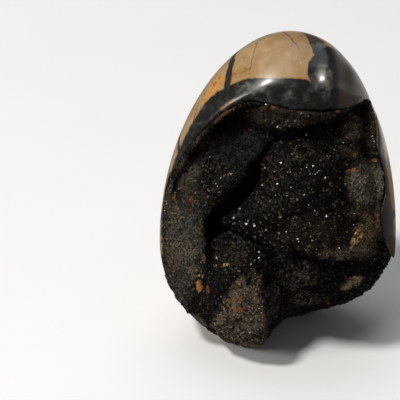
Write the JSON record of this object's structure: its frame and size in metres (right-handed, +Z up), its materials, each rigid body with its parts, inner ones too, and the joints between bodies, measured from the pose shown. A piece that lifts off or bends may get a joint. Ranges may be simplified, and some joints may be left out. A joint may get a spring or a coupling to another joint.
{
  "type": "septarian nodule",
  "caption": "Polished egg-shaped septarian nodule that stands on a small flat spot, with an open hollow of cracked blocks lined with black calcite druse.",
  "frame": {"origin": "centre of the bounding box seen from above, at the height of the flat spot it stands on", "axes": "+Z up along the egg's long axis; the hollow opens towards -Y and a little up; +X to the right of the hollow"},
  "size_m": [0.0862, 0.0719, 0.1174],
  "materials": {
    "polished_septarian": "polished to a gloss, tan limestone panels between dark brown calcite veins",
    "calcite_druse": "small glossy black calcite crystals with grey and golden patches"
  },
  "bodies": {
    "root": {"nodule": "polished_septarian", "druse": "calcite_druse"}
  },
  "joints": []
}
